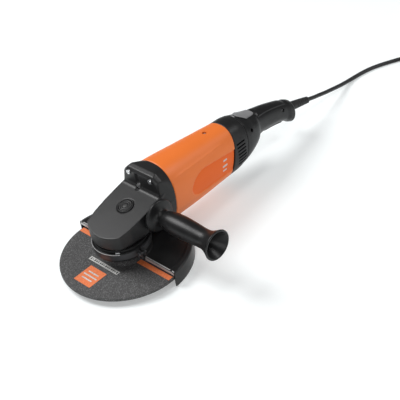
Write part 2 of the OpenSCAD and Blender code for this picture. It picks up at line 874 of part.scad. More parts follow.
// Profile of the grip from its inner flange to its trumpet end: [distance from the spindle plane, radius]
grip_profile = [[51.2, 20], [54, side_flange_r + 1.5], [57, side_flange_r + 2.5], [59.5, side_flange_r + 1],
                [62, 18], [65, 13.6], [70, 13.4], [76, 15.5], [86, 18], [100, 19.2], [118, 19.2], [136, 18.2],
                [152, 17], [163, 16.8], [171, 18.4], [178, 21.4], [184, 24.6], [188, side_flange_r],
                [side_end, side_flange_r - 0.4], [side_end, side_flange_r - 3], [164, 9], [162, 7]];

module side_handle_grip() {
    color(black)
    translate([-side_x, 0, side_z]) rotate([-90, 0, 0])
        difference() {
            rotate_extrude()
                polygon(concat([[0, 51.2]], [for (p = grip_profile) [p[1], p[0]]], [[0, 162]]));
            translate([0, 0, 40]) cylinder(h = 60, r = thread_r);
        }
}

module side_handle_bolt() {
    color(steel)
    translate([-side_x, socket_face - socket_depth + 1, side_z]) rotate([-90, 0, 0])
        cylinder(h = 66, r = thread_r - 0.03);
}

// ---------- mains lead ----------

relief_x1 = 440;                                   // inner end of the strain relief
relief_z1 = 61.5;
relief_x2 = 506;                                   // outer end
relief_z2 = 44.5;
relief_tilt = atan((relief_z1 - relief_z2) / (relief_x2 - relief_x1));
cord_r = cord_d / 2;

module cord_strain_relief() {
    length = norm([relief_x1 - relief_x2, relief_z1 - relief_z2]);
    color(black)
    translate([-relief_x2, 0, relief_z2]) rotate([0, 90 - relief_tilt, 0])
        difference() {
            union() {
                cylinder(h = length - 12, r1 = 5.6, r2 = 9);
                translate([0, 0, length - 12]) cylinder(h = 12, r = 9);
            }
            for (i = [0:4]) translate([0, 0, 7 + i * 7]) tube(1.6, 5.2 + i * 0.5, 12);
        }
}

// Centre line of the lead from the strain relief to the coil
lead_route = [
    [-506, 0, 44.5], [-518, -1, 40.5], [-532, -2, 36], [-548, -4, 31], [-565, -5, 26],
    [-584, -7, 20.5], [-604, -9, 15], [-624, -11, 9.5], [-644, -13, 4.8], [-664, -14, 1.6],
    [-684, -13, 0.2], [-704, -10, 0], [-724, -5, 0], [-744, 3, 0], [-764, 13, 0],
    [-784, 24, 0], [-804, 35.5, 0], [-822, 46, 0], [-838, 55, 0]
];
// Centre line of the lead from the coil to the plug
tail_route = [
    [-866, 103.5, 25.5], [-866, 118, 22.5], [-866, 134, 15], [-866, 150, 6.5], [-866, 166, 1.2],
    [-866, 184, 0], [-866, 202, 0], [-866, 218, 2], [-866, 232, 6], [-866, 244, 9]
];
coil_x = -810;
coil_y = 103.5;
coil_low = floor_z + 1.5;
coil_in = 36;
coil_out = 60;
coil_h = 32;
sides = 10;

function unit(v) = v / norm(v);
function heading(route, i) =
    unit(route[min(i + 1, len(route) - 1)] - route[max(i - 1, 0)]);

// A round tube swept along a list of points
module swept_tube(route, r) {
    rings = [for (i = [0:len(route) - 1])
        let (h = heading(route, i), side = unit(cross([0, 0, 1], h)), up = cross(h, side))
        [for (k = [0:sides - 1]) let (t = 360 * k / sides) route[i] + r * (cos(t) * side + sin(t) * up)]];
    last = len(route) - 1;
    polyhedron(
        points = [for (ring = rings) each ring],
        faces = [
            [for (k = [sides - 1:-1:0]) k],
            [for (k = [0:sides - 1]) last * sides + k],
            for (i = [0:last - 1], k = [0:sides - 1]) let (j = (k + 1) % sides)
                each [[i * sides + k, i * sides + j, (i + 1) * sides + j],
                      [i * sides + k, (i + 1) * sides + j, (i + 1) * sides + k]]
        ]);
}

module cord_lead() {
    color(black) swept_tube(lead_route, cord_r);
}

module cord_coil() {
    color(black)
    translate([coil_x, coil_y, coil_low])
        rotate_extrude()
            polygon([[coil_in + 2, 0], [coil_out - 2, 0], [coil_out, 2], [coil_out, coil_h - 2],
                     [coil_out - 2, coil_h], [coil_in + 2, coil_h], [coil_in, coil_h - 2], [coil_in, 2]]);
}

module coil_tie() {
    depth = coil_out - coil_in;
    color("#3a3c40")
    translate([coil_x, coil_y, floor_z]) rotate(60)
        difference() {
            translate([coil_in - 2, -7, 0]) cube([depth + 4.5, 14, coil_h + 3]);
            translate([coil_in - 0.5, -8, 1.4]) cube([depth + 1.5, 16, coil_h + 0.2]);
        }
}

module cord_tail() {
    color(black) swept_tube(tail_route, cord_r);
}

plug_x = -866;
plug_y = 244;
plug_z = 9;
plug_l = 58;

module plug_body() {
    color(black)
    translate([plug_x, plug_y, plug_z]) rotate(-90)
        loft([[0, 0, 5.2, 5.2, 2], [20, 0, 7.5, 7.5, 2], [28, 0, 12, 10, 2.4], [36, 0, 16.5, 12.4, 2.6],
              [42, 0, 17.5, 13, 2.8], [plug_l, 0, 17.5, 13, 2.8]], tilt = 0);
}

module plug_pins() {
    color(steel)
    for (s = [-1, 1])
        translate([plug_x + s * 9.5, plug_y + plug_l, plug_z]) rotate([-90, 0, 0]) {
            cylinder(h = 18, r = 2.4);
            translate([0, 0, 18]) cylinder(h = 1, r1 = 2.4, r2 = 1.6);
        }
}

gear_housing();
bearing_flange();
flange_screws();
gear_case_screws();
lock_bezel();
index_lug();
spindle_bearing();
spindle_needle_bush();
pinion_bearing();
bearing_plate();
air_baffle();
motor_housing();
field_core();
field_coils();
brush_holders();
carbon_brushes();
brush_springs();
rear_bearing();
rear_bearing_sleeve();
vent_ring();
handle_shell_left();
handle_shell_right();
handle_screws();
switch_block();
speed_module();
cord_clamp();
cord_strain_relief();
side_handle_grip();
side_handle_bolt();
spindle_shaft();
crown_gear();
inner_flange();
grinding_wheel();
wheel_label();
clamping_nut();
armature_shaft();
armature_core();
armature_windings();
commutator();
cooling_fan();
bevel_pinion();
guard_shell();
guard_clamp_band();
guard_clamp_screw();
lock_button();
lock_pin();
lock_spring();
trigger();
trigger_spring();
trigger_pin();
lock_off_slide();
slide_stop();
cord_lead();
cord_coil();
coil_tie();
cord_tail();
plug_body();
plug_pins();
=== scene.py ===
"""Looks of a two-handed angle grinder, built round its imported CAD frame.

Lengths are millimetres in the part's frame until the meshes are made in metres. +X is forward along the
motor axis, +Y is the side handle's side and +Z is up along the spindle.
"""
import json
import math

import bmesh
import bpy
import numpy as np
from mathutils import Matrix, Vector


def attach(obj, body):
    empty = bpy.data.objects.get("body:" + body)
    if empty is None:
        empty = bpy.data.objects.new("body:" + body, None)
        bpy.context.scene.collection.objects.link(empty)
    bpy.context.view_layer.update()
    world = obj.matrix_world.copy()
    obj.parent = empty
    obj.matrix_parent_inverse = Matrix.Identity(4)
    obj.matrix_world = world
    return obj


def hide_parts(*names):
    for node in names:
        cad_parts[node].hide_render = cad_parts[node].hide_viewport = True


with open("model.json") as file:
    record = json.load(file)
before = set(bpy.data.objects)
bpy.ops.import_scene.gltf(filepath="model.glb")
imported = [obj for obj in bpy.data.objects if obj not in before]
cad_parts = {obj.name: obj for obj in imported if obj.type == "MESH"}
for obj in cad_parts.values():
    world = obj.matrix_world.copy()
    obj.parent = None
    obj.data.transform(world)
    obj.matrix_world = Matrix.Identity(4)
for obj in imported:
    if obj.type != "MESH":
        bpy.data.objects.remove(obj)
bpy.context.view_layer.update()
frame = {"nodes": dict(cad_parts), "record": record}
MM = 0.001
FLOOR_Z = -4.0
FLOOR_HALF = 9000
FLOOR_GAP = 0.05


# ---------- camera, floor, light ----------

def make_camera():
    right = Vector((-0.6795, 0.7217, -0.1320))
    down = Vector((0.5203, 0.3472, -0.7802))
    ahead = Vector((-0.5173, -0.5989, -0.6114))
    turn = Matrix((right, -down, -ahead)).transposed().to_4x4()
    data = bpy.data.cameras.new("camera")
    data.lens = 90
    data.sensor_width = 36
    data.clip_end = 50
    camera = bpy.data.objects.new("camera", data)
    camera.matrix_world = Matrix.Translation(Vector((756.9, 1094.4, 1120.9)) * MM) @ turn
    bpy.context.scene.collection.objects.link(camera)
    bpy.context.scene.camera = camera


def make_light(name, place, aim, size, power):
    data = bpy.data.lights.new(name, "AREA")
    data.shape = "DISK"
    data.size = size
    data.energy = power
    lamp = bpy.data.objects.new(name, data)
    lamp.location = place
    lamp.rotation_euler = (Vector(aim) - Vector(place)).to_track_quat("-Z", "Y").to_euler()
    bpy.context.scene.collection.objects.link(lamp)


def make_studio():
    world = bpy.data.worlds.new("studio")
    world.use_nodes = True
    sky = world.node_tree.nodes["Background"]
    sky.inputs["Color"].default_value = (1, 1, 1, 1)
    sky.inputs["Strength"].default_value = 0.2
    bpy.context.scene.world = world
    bpy.context.scene.view_settings.view_transform = "Standard"
    middle = (-0.2, 0.0, 0.06)
    make_light("key", (0.5, -1.3, 1.9), middle, 1.3, 45)
    make_light("fill", (1.5, 1.3, 1.2), middle, 1.4, 13)
    make_light("rim", (-1.2, 0.9, 1.6), middle, 0.7, 10)
    make_light("top", (0.12, 0.06, 2.1), middle, 0.5, 6)
    make_light("side", (-1.3, 1.7, 0.6), (-0.35, 0.0, 0.08), 0.5, 3)


def make_floor():
    z = FLOOR_Z - FLOOR_GAP
    corners = [(-1, -1), (1, -1), (1, 1), (-1, 1)]
    floor = to_object("floor", [(FLOOR_HALF * x, FLOOR_HALF * y, z) for x, y in corners], [(0, 1, 2, 3)])
    material, _, _, shader = new_material("pale_floor")
    shader.inputs["Base Color"].default_value = (0.74, 0.775, 0.78, 1)
    shader.inputs["Roughness"].default_value = 0.9
    shader.inputs["Specular IOR Level"].default_value = 0.1
    shader.inputs["Emission Color"].default_value = (1, 1, 1, 1)
    shader.inputs["Emission Strength"].default_value = 0.26
    floor.data.materials.append(material)


# ---------- mesh helpers ----------

def to_object(name, verts, faces, smooth=40):
    mesh = bpy.data.meshes.new(name)
    mesh.from_pydata([Vector(v) * MM for v in verts], [], faces)
    mesh.validate()
    return finish_mesh(name, mesh, smooth)


def finish_mesh(name, mesh, smooth=40):
    bm = bmesh.new()
    bm.from_mesh(mesh)
    bmesh.ops.remove_doubles(bm, verts=bm.verts, dist=1e-6)
    bmesh.ops.recalc_face_normals(bm, faces=bm.faces)
    bm.to_mesh(mesh)
    bm.free()
    piece = bpy.data.objects.new(name, mesh)
    bpy.context.scene.collection.objects.link(piece)
    shade(piece, smooth)
    return piece


def shade(piece, angle):
    mesh = piece.data
    mesh.polygons.foreach_set("use_smooth", [True] * len(mesh.polygons))
    mesh.set_sharp_from_angle(angle=math.radians(angle))


def grid_faces(rows, count, closed=True, flip=False):
    faces = []
    for r in range(rows - 1):
        for i in range(count if closed else count - 1):
            j = (i + 1) % count
            quad = (r * count + i, r * count + j, (r + 1) * count + j, (r + 1) * count + i)
            faces.append(quad[::-1] if flip else quad)
    return faces


def baked(piece, smooth=40):
    """The piece with its modifiers applied."""
    mesh = bpy.data.meshes.new_from_object(piece.evaluated_get(bpy.context.evaluated_depsgraph_get()))
    name = piece.name
    old = piece.data
    bpy.data.objects.remove(piece)
    bpy.data.meshes.remove(old)
    mesh.name = name
    piece = bpy.data.objects.new(name, mesh)
    bpy.context.scene.collection.objects.link(piece)
    shade(piece, smooth)
    return piece


def carve(piece, cutters, smooth=40):
    """Cuts each closed cutter out of the piece and drops the cutters."""
    for cutter in cutters:
        cut = piece.modifiers.new("cut", "BOOLEAN")
        cut.operation = "DIFFERENCE"
        cut.solver = "EXACT"
        cut.object = cutter
    piece = baked(piece, smooth)
    for cutter in cutters:
        old = cutter.data
        bpy.data.objects.remove(cutter)
        bpy.data.meshes.remove(old)
    return piece


def bevelled(piece, width, segments=2):
    bevel = piece.modifiers.new("bevel", "BEVEL")
    bevel.width = width * MM
    bevel.segments = segments
    bevel.limit_method = "ANGLE"
    bevel.angle_limit = math.radians(35)
    bevel.use_clamp_overlap = True
    return baked(piece)


def turned(name, profile, centre=(0, 0, 0), axis=(0, 0, 1), count=96, smooth=35, shear=0.0):
    """A solid of revolution: profile is a closed loop of [distance along the axis, radius]."""
    axis = Vector(axis).normalized()
    side = axis.orthogonal().normalized() if abs(axis.z) < 0.9 else Vector((1, 0, 0))
    other = axis.cross(side)
    verts, n = [], len(profile)
    for k in range(count):
        a = 2 * math.pi * k / count
        out = side * math.cos(a) + other * math.sin(a)
        for along, radius in profile:
            p = Vector(centre) + axis * along + out * max(radius, 0.0)
            p.z += shear * (p.x - centre[0])
            verts.append(p)
    faces = []
    for k in range(count):
        m = (k + 1) % count
        for i in range(n):
            j = (i + 1) % n
            faces.append((k * n + i, k * n + j, m * n + j, m * n + i))
    return to_object(name, verts, faces, smooth)


def rounded(points, radius, steps=4, closed=True):
    """The polyline with each corner turned into a small arc."""
    out, n = [], len(points)
    for i, p in enumerate(points):
        if not closed and i in (0, n - 1):
            out.append(tuple(p))
            continue
        p, a, b = Vector(p), Vector(points[i - 1]), Vector(points[(i + 1) % n])
        la, lb = (a - p).length, (b - p).length
        r = min(radius, la * 0.45, lb * 0.45)
        if r < 1e-4 or (a - p).normalized().dot((b - p).normalized()) < -0.985:
            out.append(tuple(p))
            continue
        start, end = p + (a - p) * (r / la), p + (b - p) * (r / lb)
        for s in range(steps + 1):
            t = s / steps
            out.append(tuple(start * (1 - t) ** 2 + p * 2 * t * (1 - t) + end * t * t))
    return out


def smooth_sections(sections, places):
    """Sections [x, z, half width, half height, exponent, lean] at new places, with no overshoot."""
    table = np.array(sections, float)
    xs = table[:, 0]
    out = []
    for x in places:
        i = int(np.clip(np.searchsorted(xs, x) - 1, 0, len(xs) - 2))
        h = xs[i + 1] - xs[i]
        t = float(np.clip((x - xs[i]) / h, 0, 1))
        row = [x]
        for c in range(1, table.shape[1]):
            y = table[:, c]
            d = np.diff(y) / np.diff(xs)
            slope = np.zeros(len(xs))
            slope[0], slope[-1] = d[0], d[-1]
            for k in range(1, len(xs) - 1):
                if d[k - 1] * d[k] > 0:
                    slope[k] = 2 * d[k - 1] * d[k] / (d[k - 1] + d[k])
            h00, h10 = 2 * t**3 - 3 * t**2 + 1, t**3 - 2 * t**2 + t
            h01, h11 = -2 * t**3 + 3 * t**2, t**3 - t**2
            row.append(h00 * y[i] + h10 * h * slope[i] + h01 * y[i + 1] + h11 * h * slope[i + 1])
        out.append(row)
    return out


def oval_point(section, angle, grow=0.0):
    """A point of a section's superellipse and its outward direction."""
    x, z, a, b, n, lean = section
    c, s = math.cos(angle), math.sin(angle)
    y = (a + grow) * math.copysign(abs(c) ** (2 / n), c)
    up = (b + grow) * math.copysign(abs(s) ** (2 / n), s)
    return Vector((-x - lean * up, y, z + up))


def lofted_shell(name, sections, places, count, wall, relief, first=0.0, last=2 * math.pi, smooth=40):
    """A thick skin through sections. relief(place, height, angle) moves the outside in (-) or out (+)."""
    closed = abs(last - first - 2 * math.pi) < 1e-6
    stations = smooth_sections(sections, places)
    turns = [first + (last - first) * (i + 0.5 if closed else i) / (count if closed else count - 1)
             for i in range(count)]
    outer = [[oval_point(s, t, relief(s[0], oval_point(s, t).z, t)) for t in turns] for s in stations]
    inner = [[oval_point(s, t, -wall) for t in turns] for s in stations]
    verts = [p for ring in outer for p in ring] + [p for ring in inner for p in ring]
    rows, skip = len(stations), len(stations) * count
    faces = grid_faces(rows, count, closed)
    faces += [tuple(i + skip for i in f) for f in grid_faces(rows, count, closed, flip=True)]
    for i in range(count if closed else count - 1):
        j = (i + 1) % count
        faces.append((i, i + skip, j + skip, j))
        e = (rows - 1) * count
        faces.append((e + i, e + j, e + j + skip, e + i + skip))
    if not closed:
        for r in range(rows - 1):
            a, b = r * count, (r + 1) * count
            faces.append((a, b, b + skip, a + skip))
            a, b = a + count - 1, b + count - 1
            faces.append((a, a + skip, b + skip, b))
    return to_object(name, verts, faces, smooth)


def block(name, low, high):
    """A box between two corners, used to cut or to be bevelled."""
    verts = [(x, y, z) for x in (low[0], high[0]) for y in (low[1], high[1]) for z in (low[2], high[2])]
    faces = [(0, 1, 3, 2), (4, 6, 7, 5), (0, 4, 5, 1), (2, 3, 7, 6), (0, 2, 6, 4), (1, 5, 7, 3)]
    return to_object(name, verts, faces)


def rod(name, start, end, radius, count=48):
    axis = Vector(end) - Vector(start)
    return turned(name, [(0, 0), (0, radius), (axis.length, radius), (axis.length, 0)], start, axis, count)


def prism(name, outline, low, high, axis="y"):
    """A plate with an outline in two axes, between two places along the third, which is y or z."""
    n = len(outline)

    def place(p, level):
        return (p[0], level, p[1]) if axis == "y" else (p[0], p[1], level)

    verts = [place(p, low) for p in outline] + [place(p, high) for p in outline]
    faces = [tuple(range(n)), tuple(range(2 * n - 1, n - 1, -1))]
    faces += [(i, (i + 1) % n, (i + 1) % n + n, i + n) for i in range(n)]
    return to_object(name, verts, faces)


# ---------- materials ----------

def new_material(name):
    material = bpy.data.materials.new(name)
    material.use_nodes = True
    tree = material.node_tree
    return material, tree.nodes, tree.links, tree.nodes["Principled BSDF"]


def grained(name, dark, light, scale, rough, bump, metallic=0.0, patch=3.0, spread=0.06, depth=0.00012,
            specular=0.5):
    """A moulded or cast surface: two tones in soft patches, fine grain in its height, uneven gloss."""
    material, nodes, links, shader = new_material(name)
    where = nodes.new("ShaderNodeTexCoord")
    tone = nodes.new("ShaderNodeTexNoise")
    tone.inputs["Scale"].default_value = patch * 10
    tone.inputs["Detail"].default_value = 6
    links.new(where.outputs["Object"], tone.inputs["Vector"])
    ramp = nodes.new("ShaderNodeValToRGB")
    ramp.color_ramp.elements[0].position = 0.3
    ramp.color_ramp.elements[1].position = 0.7
    ramp.color_ramp.elements[0].color = (*dark, 1)
    ramp.color_ramp.elements[1].color = (*light, 1)
    links.new(tone.outputs["Fac"], ramp.inputs["Fac"])
    links.new(ramp.outputs["Color"], shader.inputs["Base Color"])
    gloss = nodes.new("ShaderNodeMapRange")
    gloss.inputs["To Min"].default_value = rough - spread
    gloss.inputs["To Max"].default_value = rough + spread
    links.new(tone.outputs["Fac"], gloss.inputs["Value"])
    links.new(gloss.outputs["Result"], shader.inputs["Roughness"])
    grain = nodes.new("ShaderNodeTexNoise")
    grain.inputs["Scale"].default_value = scale
    grain.inputs["Detail"].default_value = 3
    links.new(where.outputs["Object"], grain.inputs["Vector"])
    height = nodes.new("ShaderNodeBump")
    height.inputs["Strength"].default_value = bump
    height.inputs["Distance"].default_value = depth
    links.new(grain.outputs["Fac"], height.inputs["Height"])
    links.new(height.outputs["Normal"], shader.inputs["Normal"])
    shader.inputs["Metallic"].default_value = metallic
    shader.inputs["Specular IOR Level"].default_value = specular
    return material


def abrasive():
    """Bonded grit: dark resin, grains in three greys and a few bright crystals, with a rough height."""
    material, nodes, links, shader = new_material("abrasive")
    where = nodes.new("ShaderNodeTexCoord")
    cells = nodes.new("ShaderNodeTexVoronoi")
    cells.inputs["Scale"].default_value = 900
    links.new(where.outputs["Object"], cells.inputs["Vector"])
    split = nodes.new("ShaderNodeSeparateColor")
    links.new(cells.outputs["Color"], split.inputs["Color"])
    ramp = nodes.new("ShaderNodeValToRGB")
    ramp.color_ramp.elements[0].color = (0.042, 0.042, 0.043, 1)
    ramp.color_ramp.elements[1].color = (0.15, 0.15, 0.153, 1)
    ramp.color_ramp.elements[1].position = 0.97
    middle = ramp.color_ramp.elements.new(0.75)
    middle.color = (0.072, 0.071, 0.071, 1)
    links.new(split.outputs["Red"], ramp.inputs["Fac"])
    links.new(ramp.outputs["Color"], shader.inputs["Base Color"])
    height = nodes.new("ShaderNodeBump")
    height.inputs["Strength"].default_value = 0.8
    height.inputs["Distance"].default_value = 0.0005
    links.new(split.outputs["Green"], height.inputs["Height"])
    links.new(height.outputs["Normal"], shader.inputs["Normal"])
    shader.inputs["Roughness"].default_value = 0.78
    return material


def make_materials():
    return {
        "cast": grained("cast_black", (0.007, 0.0072, 0.0076), (0.012, 0.012, 0.0125), 1500, 0.38, 0.5,
                        patch=2.5, specular=0.34),
        "plastic": grained("black_plastic", (0.005, 0.005, 0.0055), (0.009, 0.009, 0.0095), 1900, 0.42, 0.5,
                           specular=0.34),
        "grip": grained("grip_black", (0.005, 0.005, 0.0055), (0.009, 0.009, 0.0095), 1700, 0.36, 0.5,
                        specular=0.3),
        "orange": grained("orange_plastic", (0.72, 0.158, 0.020), (0.76, 0.172, 0.023), 1700, 0.46, 0.16,
                          patch=1.2, spread=0.03, specular=0.5),
        # A darker, redder copy of the orange for the sunk side panels: painted shade, since the panels face
        # down and away from the light.
        "orange_painted_shade": grained("orange_panel_painted_shade", (0.74, 0.120, 0.012), (0.77, 0.130, 0.013), 1700, 0.48, 0.2,
                               patch=1.2, spread=0.03, specular=0.2),
        "steel": grained("bright_steel", (0.70, 0.71, 0.73), (0.84, 0.84, 0.85), 900, 0.34, 0.25,
                         metallic=1.0),
        "dark_steel": grained("dark_steel", (0.055, 0.056, 0.06), (0.09, 0.09, 0.095), 1200, 0.34, 0.3,
                              metallic=0.6),
        "guard": grained("guard_black", (0.009, 0.009, 0.0095), (0.014, 0.014, 0.0145), 1300, 0.34, 0.3,
                         specular=0.3),
        "rubber": grained("rubber_black", (0.006, 0.006, 0.0065), (0.010, 0.010, 0.0105), 1400, 0.55, 0.4),
        "cable": grained("cable_black", (0.009, 0.009, 0.010), (0.014, 0.014, 0.015), 1400, 0.50, 0.35),
        "grey": grained("grey_plastic", (0.17, 0.17, 0.175), (0.21, 0.21, 0.215), 1600, 0.44, 0.25),
        "copper": grained("copper_wire", (0.50, 0.19, 0.08), (0.66, 0.28, 0.13), 700, 0.35, 0.5,
                          metallic=0.9),
        "brass": grained("plain_brass", (0.66, 0.47, 0.20), (0.80, 0.60, 0.28), 900, 0.28, 0.25,
                         metallic=1.0),
        "carbon": grained("carbon", (0.02, 0.02, 0.02), (0.035, 0.035, 0.035), 1500, 0.6, 0.4),
        # Light grey used as a painted highlight: it stands for light caught on the black guard lips and on
        # the lit arc of the clamp band's rim.
        "edge": grained("painted_edge_highlight", (0.36, 0.36, 0.36), (0.50, 0.50, 0.50), 1200, 0.42, 0.3, metallic=0.3),
        "label_orange": grained("label_orange", (0.66, 0.145, 0.040), (0.80, 0.22, 0.08), 520, 0.62, 0.6,
                                patch=40, depth=0.0003),
        "label_pale": grained("label_pale", (0.40, 0.40, 0.39), (0.66, 0.66, 0.64), 520, 0.62, 0.6,
                              patch=40, depth=0.0003),
        "label_dark": grained("label_dark", (0.03, 0.03, 0.03), (0.06, 0.06, 0.06), 520, 0.62, 0.5, patch=40),
        "abrasive": abrasive(),
    }


def settle(piece, body, material, slot, *nodes):
    """Gives a new piece its material and body, and hides the CAD nodes that it stands for. The slot argument
    is not used.
    """
    piece.data.materials.clear()
    piece.data.materials.append(M[material])
    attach(piece, body)
    if nodes:
        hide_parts(*nodes)
    return piece


# ---------- mains lead ----------

CORD_R = 4.0
LEAD = [
    (-506, 0, 44.5), (-518, -1, 40.5), (-532, -2, 36), (-548, -4, 31), (-565, -5, 26), (-584, -7, 20.5),
    (-604, -9, 15), (-624, -11, 9.5), (-644, -13, 4.8), (-664, -14, 1.6), (-684, -13, 0.2), (-704, -10, 0),
    (-724, -5, 0), (-744, 3, 0), (-764, 13, 0), (-784, 24, 0), (-804, 35.5, 0), (-822, 46, 0), (-838, 55, 0)]
TAIL = [
    (-866, 103.5, 25.5), (-866, 118, 22.5), (-866, 134, 15), (-866, 150, 6.5), (-866, 166, 1.2),
    (-866, 184, 0), (-866, 202, 0), (-866, 218, 2), (-866, 232, 6), (-866, 244, 9)]
COIL = (-810.0, 103.5)
COIL_LOW = FLOOR_Z + 1.5
COIL_RADII = (56, 48, 40)
COIL_LAYERS = 4


def coil_route():
    """Turns wound clockwise from the lead's end, layer on layer, ending where the tail begins."""
    points = []
    levels = [(radius, layer) for layer in range(COIL_LAYERS)
              for radius in (COIL_RADII if layer % 2 == 0 else COIL_RADII[::-1])]
    turns = len(levels)
    step = 15
    total = (360 * (turns - 1) + 60) // step
    for k in range(total + 1):
        t = k * step / 360.0
        i = min(int(t), turns - 1)
        f = t - i
        here, after = levels[i], levels[min(i + 1, turns - 1)]
        ease = np.clip((f - 0.6) / 0.4, 0, 1)
        ease = ease * ease * (3 - 2 * ease)
        radius = here[0] + (after[0] - here[0]) * ease
        layer = here[1] + (after[1] - here[1]) * ease
        a = math.radians(240 - k * step)
        points.append((COIL[0] + radius * math.cos(a), COIL[1] + radius * math.sin(a),
                       COIL_LOW + CORD_R + layer * 2 * CORD_R))
    return points


def spline(points, spacing):
    """Points along a smooth curve through the given points."""
    pts = [Vector(p) for p in points]
    out = []
    for i in range(len(pts) - 1):
        p0, p1, p2, p3 = pts[max(i - 1, 0)], pts[i], pts[i + 1], pts[min(i + 2, len(pts) - 1)]
        steps = max(1, int((p2 - p1).length / spacing))
        for s in range(steps):
            t = s / steps
            out.append(0.5 * ((2 * p1) + (p2 - p0) * t + (2 * p0 - 5 * p1 + 4 * p2 - p3) * t * t
                              + (3 * p1 - p0 - 3 * p2 + p3) * t**3))
    out.append(pts[-1])
    return out


def swept(name, points, radius, count=14):
    """A round cable along the points."""
    verts = []
    for i, p in enumerate(points):
        ahead = (points[min(i + 1, len(points) - 1)] - points[max(i - 1, 0)]).normalized()
        side = Vector((0, 0, 1)).cross(ahead).normalized()
        up = ahead.cross(side)
        for k in range(count):
            a = 2 * math.pi * k / count
            verts.append(p + side * radius * math.cos(a) + up * radius * math.sin(a))
    rows = len(points)
    faces = grid_faces(rows, count)
    faces += [tuple(range(count - 1, -1, -1)), tuple((rows - 1) * count + k for k in range(count))]
    return to_object(name, verts, faces, 60)


def make_cord():
    route = LEAD[:-1] + coil_route() + TAIL[1:]
    path = [Vector((p.x, p.y, max(p.z, 0.0))) for p in spline(route, 7)]
    cord = swept("mains_lead", path, CORD_R)
    settle(cord, "housing", "cable", "cable", "cord_lead", "cord_coil", "cord_tail")


# ---------- motor housing, vent ring and rear grip ----------

MOTOR_FRONT, MOTOR_BACK = 93.5, 253.5
VENT_FRONT, VENT_BACK = 253.7, 290.5
REAR_FRONT, REAR_BACK = 290.8, 452.0
# Each row is a section: distance behind the spindle, height, half width, half height, exponent and lean.
MOTOR = [[MOTOR_FRONT, 87.5, 50, 58.8, 2.3, 0.065], [115.5, 86.4, 49.4, 57.9, 2.3, 0.065],
         [158.5, 82.8, 47, 56.2, 2.3, 0.1], [MOTOR_BACK, 76.5, 39.5, 51, 2.4, 0.2]]
VENT = [[VENT_FRONT, 76.5, 39.5, 51, 2.4, 0.2], [274, 76.2, 39.5, 50.2, 2.4, 0.17],
        [VENT_BACK, 76.5, 38.8, 47.4, 2.3, 0.14]]
REAR = [[REAR_FRONT, 76.5, 38.8, 47.3, 2.3, 0.14], [301, 76, 38, 44.6, 2.2, 0.12],
        [312, 76.4, 36, 41, 2.2, 0.09]]
REAR += [[*row, 0.065] for row in (
    (324, 76.8, 33, 36.8, 2.1), (337, 78.4, 28, 31.8, 2.1), (343, 80.4, 22.8, 28.8, 2.1),
    (349, 80.6, 21.2, 27.6, 2.1), (360, 80, 19.8, 25.6, 2.1), (376, 77.6, 18.6, 24.2, 2.1),
    (394, 73.8, 18, 22.8, 2.1), (412, 69, 17.6, 21.6, 2.1), (428, 63, 17.6, 21.4, 2.1),
    (438, 57.8, 19, 23.8, 2.1), (446, 53.6, 19.2, 23.6, 2.1), (REAR_BACK, 51.2, 15.5, 18.8, 2.1))]
WALL = 3
PANEL_Z, PANEL_HALF, PANEL_DEPTH = 80, 25.5, 2.2
PANEL_FRONT, PANEL_FULL = 134, 170
SLOT_COUNT, SLOT_PITCH, SLOT_LOW_Z, SLOT_TALL = 7, 7, 51.8, 3.2
SLOT_FRONT, SLOT_BACK = -262.5, -284.5
MARK_X = 227
SHELL_SCREWS = [(311, 98), (340, 62), (417, 76)]
TOP_SCREW_X = -224.0
QUARTER = math.pi / 2


def fade(value, low, high):
    t = min(max((value - low) / (high - low), 0.0), 1.0)
    return t * t * (3 - 2 * t)


def steps(low, high, spacing):
    n = max(1, int(round((high - low) / spacing)))
    return [low + (high - low) * i / n for i in range(n + 1)]


def panel_depth(x, height, side):
    """How far a place on the motor housing lies in the sunk side panel, from 0 to 1."""
    if x < PANEL_FRONT or abs(side) > QUARTER:
        return 0.0
    ahead = (PANEL_FULL - x) / (PANEL_FULL - PANEL_FRONT)
    nose = math.sqrt(max(0.0, 1 - ahead**2)) if x < PANEL_FULL else 1.0
    slope = max(0.0, x - PANEL_FULL)
    above = PANEL_Z + PANEL_HALF * nose - 0.165 * slope - height
    below = height - PANEL_Z + PANEL_HALF * nose + 0.1 * slope
    return fade(above, 0.0, 1.0) * fade(below, 0.0, 9.0)


def side_angle(angle):
    """The angle above the nearer side, from -90 to 90 degrees on both sides."""
    side = angle if math.cos(angle) > 0 else math.pi - angle
    return (side + math.pi) % (2 * math.pi) - math.pi


def motor_relief(x, height, angle):
    """A soft crease along each shoulder and a sunk panel on each side, rounded at its front."""
    side = side_angle(angle)
    line = math.radians(36 + 6 * (x - 109) / 113)
    crease = 1.5 * math.exp(-abs(side - line) / math.radians(3.2))
    crease *= fade(x, 96, 120) * (1 - fade(x, 205, 240))
    rim = -0.8 * (1 - fade(x, MOTOR_FRONT, MOTOR_FRONT + 1.2)) - 0.7 * fade(x, MOTOR_BACK - 1.2, MOTOR_BACK)
    return crease - PANEL_DEPTH * panel_depth(x, height, side) + rim


def edge_relief(front, back, depth=0.7, width=1.0):
    """Rounds the two rims of a shell."""
    def relief(x, height, angle):
        return -depth * (1 - fade(x, front, front + width)) - depth * fade(x, back - width, back)
    return relief


def grip_relief(x, height, angle):
    """Rounded rims, and a flat strip along the top of the grip that stands a little proud."""
    off_top = abs((angle - QUARTER + math.pi) % (2 * math.pi) - math.pi)
    across = 1 - fade(math.degrees(off_top) + 0.12 * (x - 345), 44, 48)
    along = fade(x, 343.5, 348) * (1 - fade(x, 420, 436))
    return 1.3 * across * along + edge_relief(REAR_FRONT, REAR_BACK, 0.8, 1.4)(x, height, angle)


def rim_steps(low, high, spacing):
    """Places along a shell, closer together at its two rims."""
    middle = steps(low + 1.3, high - 1.3, spacing)
    return [low, low + 0.4, low + 0.8] + middle + [high - 0.8, high - 0.4, high]


